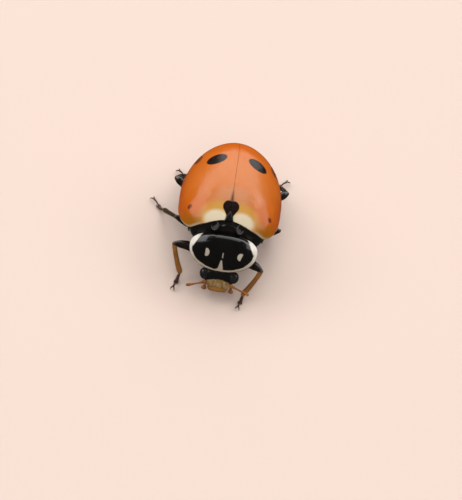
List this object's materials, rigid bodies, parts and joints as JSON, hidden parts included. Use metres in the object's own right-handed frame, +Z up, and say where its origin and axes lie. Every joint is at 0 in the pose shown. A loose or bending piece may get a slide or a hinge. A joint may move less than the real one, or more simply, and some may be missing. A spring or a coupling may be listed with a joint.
{
  "type": "ladybird",
  "caption": "Life-size still model of a male variegated ladybird standing on its feet with its head bent down, for display.",
  "frame": {"origin": "on the floor under the middle of the bounding box", "axes": "+Z up, -Y towards the head, +X towards the beetle's own left side"},
  "size_m": [0.0044, 0.0058, 0.0023],
  "materials": {
    "orange_chitin": "glossy orange wing case with dark spots, cream by the scutellum",
    "black_chitin": "glossy black shell, with cream borders and spots on the pronotum",
    "cream_chitin": "satin cream shell",
    "amber_chitin": "satin amber shell, slightly clear",
    "brown_chitin": "satin dark brown shell",
    "reddish_chitin": "satin reddish brown shell",
    "eye": "faceted grey-brown compound eye"
  },
  "bodies": {
    "root": {"head": "black_chitin", "eye_left": "eye", "eye_right": "eye", "labrum": "cream_chitin", "mandibles": "amber_chitin", "palp_left": "amber_chitin", "palp_right": "amber_chitin", "antenna_left": "amber_chitin", "antenna_right": "amber_chitin", "pronotum": "black_chitin", "prothorax": "black_chitin", "mesonotum": "black_chitin", "scutellum": "black_chitin", "elytron_left": "orange_chitin", "elytron_right": "orange_chitin", "thorax": "black_chitin", "abdomen": "black_chitin", "coxa_front_left": "black_chitin", "femur_front_left": "black_chitin", "tibia_front_left": "amber_chitin", "tarsus_front_left": "reddish_chitin", "coxa_front_right": "black_chitin", "femur_front_right": "black_chitin", "tibia_front_right": "amber_chitin", "tarsus_front_right": "reddish_chitin", "coxa_middle_left": "black_chitin", "femur_middle_left": "black_chitin", "tibia_middle_left": "brown_chitin", "tarsus_middle_left": "reddish_chitin", "coxa_middle_right": "black_chitin", "femur_middle_right": "black_chitin", "tibia_middle_right": "brown_chitin", "tarsus_middle_right": "reddish_chitin", "coxa_hind_left": "black_chitin", "femur_hind_left": "black_chitin", "tibia_hind_left": "brown_chitin", "tarsus_hind_left": "reddish_chitin", "coxa_hind_right": "black_chitin", "femur_hind_right": "black_chitin", "tibia_hind_right": "brown_chitin", "tarsus_hind_right": "reddish_chitin"}
  },
  "joints": []
}
